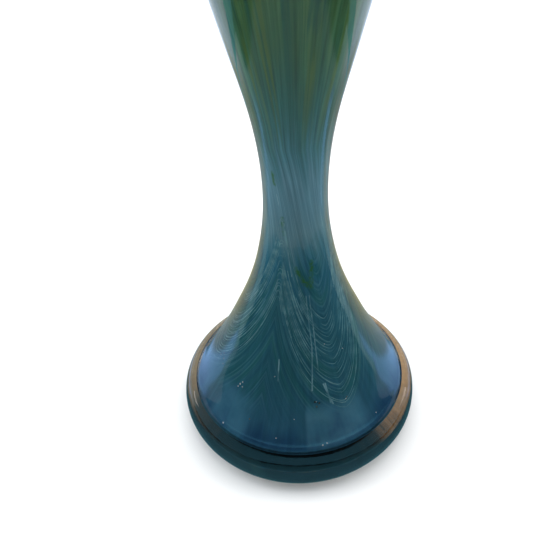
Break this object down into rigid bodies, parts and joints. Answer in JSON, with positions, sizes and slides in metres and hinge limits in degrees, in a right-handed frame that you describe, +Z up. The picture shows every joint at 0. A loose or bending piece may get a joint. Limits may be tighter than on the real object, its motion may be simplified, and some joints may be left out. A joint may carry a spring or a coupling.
{
  "type": "waisted art glass vase",
  "caption": "Tall cased glass vase: thick rounded foot, bell-shaped base with combed threads, slim waist and an open tulip-shaped body, blue below and green above.",
  "frame": {"origin": "centre of the flat ring that the foot stands on", "axes": "+Z up along the axis of the vase, -Y towards the front where a comb line and a loop meet"},
  "size_m": [0.12, 0.12, 0.3399],
  "materials": {
    "foot_glass": "clear glass with a faint amber tint, fire-polished",
    "casing_glass": "clear, fire-polished and glossy",
    "blue_glass": "dense streaky teal to deep blue colour coat",
    "green_glass": "dense streaky green colour coat",
    "lining_glass": "smooth tinted inner lining",
    "thread_glass": "pale opal trailed thread"
  },
  "bodies": {
    "root": {"foot_pad": "foot_glass", "pontil_seal": "foot_glass", "clear_casing": "casing_glass", "blue_colour_coat": "blue_glass", "green_colour_coat": "green_glass", "inner_lining": "lining_glass", "combed_thread_1": "thread_glass", "combed_thread_2": "thread_glass", "combed_thread_3": "thread_glass", "combed_thread_4": "thread_glass", "combed_thread_5": "thread_glass", "combed_thread_6": "thread_glass"}
  },
  "joints": []
}
